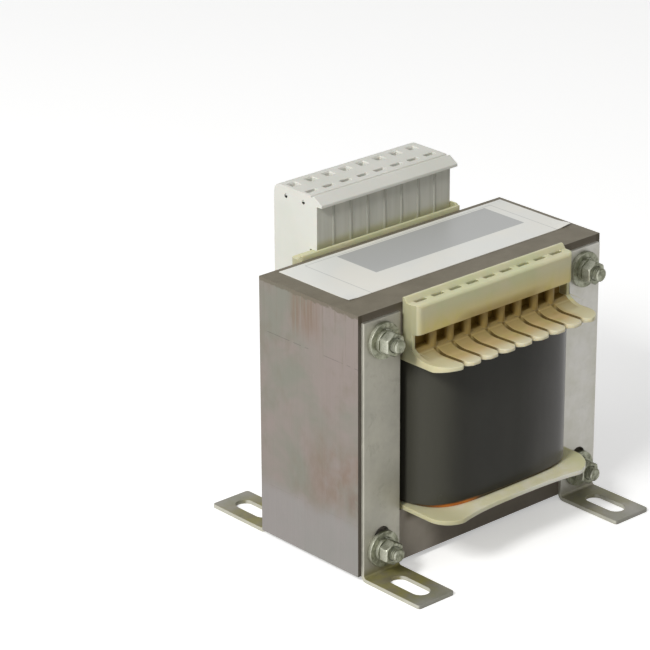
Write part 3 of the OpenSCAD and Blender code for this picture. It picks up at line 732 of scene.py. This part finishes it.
def stuck_label():
    """The label as a thin sheet whose front corners have lifted a little."""
    low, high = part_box("label")
    centre = (low + high) / 2
    bpy.ops.object.select_all(action="DESELECT")
    bpy.ops.mesh.primitive_grid_add(x_subdivisions=60, y_subdivisions=20, size=1, location=centre)
    label = bpy.context.object
    label.name = "label_corner_loose"
    open_mesh(label)
    bpy.ops.mesh.select_all(action="SELECT")
    bpy.ops.transform.resize(value=(high.x - low.x, high.y - low.y, 1))
    bpy.ops.object.mode_set(mode="OBJECT")
    bpy.ops.object.transform_apply(location=True, rotation=True, scale=True)
    open_mesh(label)
    for x, lift, reach in ((high.x, 0.7, 7), (low.x, 0.25, 5)):
        pull(label, Vector((x, low.y, centre.z)), size=1, move=(0, 0, lift), reach=reach)
    bpy.ops.object.mode_set(mode="OBJECT")
    sheet = label.modifiers.new("sheet", "SOLIDIFY")
    sheet.thickness, sheet.offset = (high.z - low.z) * 0.8, 0
    bpy.ops.object.modifier_apply(modifier=sheet.name)
    settle(label, "label")


EDGE_WIDTHS = {"nuts": 0.35, "head_washers": 0.2, "nut_washers": 0.2, "lock_washers": 0.15,
               "front_left_bracket": 0.25, "front_right_bracket": 0.25,
               "back_left_bracket": 0.25, "back_right_bracket": 0.25}
for name, width in EDGE_WIDTHS.items():
    settle(rounded(name, width), name)
moulded_bobbin()
terminal_body()
threaded_bolts()
wound_tape()
stuck_label()


# ---- Studio ----

def pale_for_view(tree):
    """1 for rays that a viewer sees, straight or through a reflection, and 0 for the light on the object."""
    path = tree.nodes.new("ShaderNodeLightPath")
    shown = path.outputs["Is Camera Ray"]
    for name in ("Is Glossy Ray", "Is Transmission Ray"):
        total = tree.nodes.new("ShaderNodeMath")
        total.operation = "ADD"
        total.use_clamp = True
        tree.links.new(shown, total.inputs[0])
        tree.links.new(path.outputs[name], total.inputs[1])
        shown = total.outputs[0]
    return shown


def floor():
    """A pale floor that glows a little for a viewer, so that it meets the white behind without an edge."""
    bpy.ops.object.select_all(action="DESELECT")
    bpy.ops.mesh.primitive_plane_add(size=8)
    ground = bpy.context.object
    ground.name = "studio_floor"
    f = Finish("pale floor", {"Roughness": 0.8, "Specular IOR Level": 0.1, "Emission Strength": 1.0})
    seen = Value(f, pale_for_view(f.tree))
    pale = f.blend(f.grain(400, detail=2), shade("f4f4f3"), shade("f7f7f6"))
    glow = f.blend(seen, (0, 0, 0, 1), (0.42, 0.42, 0.42, 1))
    ground.data.materials.append(f.wear(colour=f.blend(seen, shade("a8a8a6"), pale), glow=glow))


def sky():
    """White for a viewer, and a soft even light for the object."""
    world = bpy.data.worlds.new("pale studio")
    bpy.context.scene.world = world
    world.use_nodes = True
    tree = world.node_tree
    tree.nodes.clear()
    both = tree.nodes.new("ShaderNodeMixShader")
    out = tree.nodes.new("ShaderNodeOutputWorld")
    tree.links.new(pale_for_view(tree), both.inputs[0])
    for socket, strength in ((1, 0.34), (2, 1.0)):
        light = tree.nodes.new("ShaderNodeBackground")
        light.inputs["Color"].default_value = (1, 1, 1, 1)
        light.inputs["Strength"].default_value = strength
        tree.links.new(light.outputs[0], both.inputs[socket])
    tree.links.new(both.outputs[0], out.inputs[0])


def bearing(azimuth, elevation):
    """The way from the middle towards a place given in degrees."""
    a, e = radians(azimuth), radians(elevation)
    return Vector((sin(a) * cos(e), -cos(a) * cos(e), sin(e)))


def soft_box(name, azimuth, elevation, distance, size, power):
    """A square lamp that looks at the middle of the object."""
    back = bearing(azimuth, elevation)
    data = bpy.data.lights.new(name, "AREA")
    data.shape, data.size, data.energy = "SQUARE", size, power
    lamp = bpy.data.objects.new(name, data)
    lamp.location = Vector((0, 0, 0.05)) + back * distance
    lamp.rotation_mode = "QUATERNION"
    lamp.rotation_quaternion = (-back).to_track_quat("-Z", "Y")
    bpy.context.scene.collection.objects.link(lamp)


def camera(place, azimuth, elevation, roll):
    """A long lens at a place in metres, turned by angles in degrees."""
    data = bpy.data.cameras.new("camera")
    data.sensor_width = 36
    data.lens = 174.3
    data.clip_start, data.clip_end = 0.05, 50
    seat = bpy.data.objects.new("camera", data)
    look = (-bearing(azimuth, elevation)).to_track_quat("-Z", "Y").to_matrix()
    turn = look @ Matrix.Rotation(radians(roll), 3, "Z")
    seat.matrix_world = Matrix.Translation(place) @ turn.to_4x4()
    bpy.context.scene.collection.objects.link(seat)
    bpy.context.scene.camera = seat


floor()
sky()
soft_box("key", azimuth=-74, elevation=39, distance=1.4, size=0.3, power=10.6)
soft_box("left", azimuth=-95, elevation=30, distance=1.5, size=1.0, power=6.6)
camera((-0.7339, -0.7632, 0.5106), azimuth=-41.782, elevation=22.398, roll=-0.277)

scene = bpy.context.scene
scene.view_settings.view_transform = "Standard"
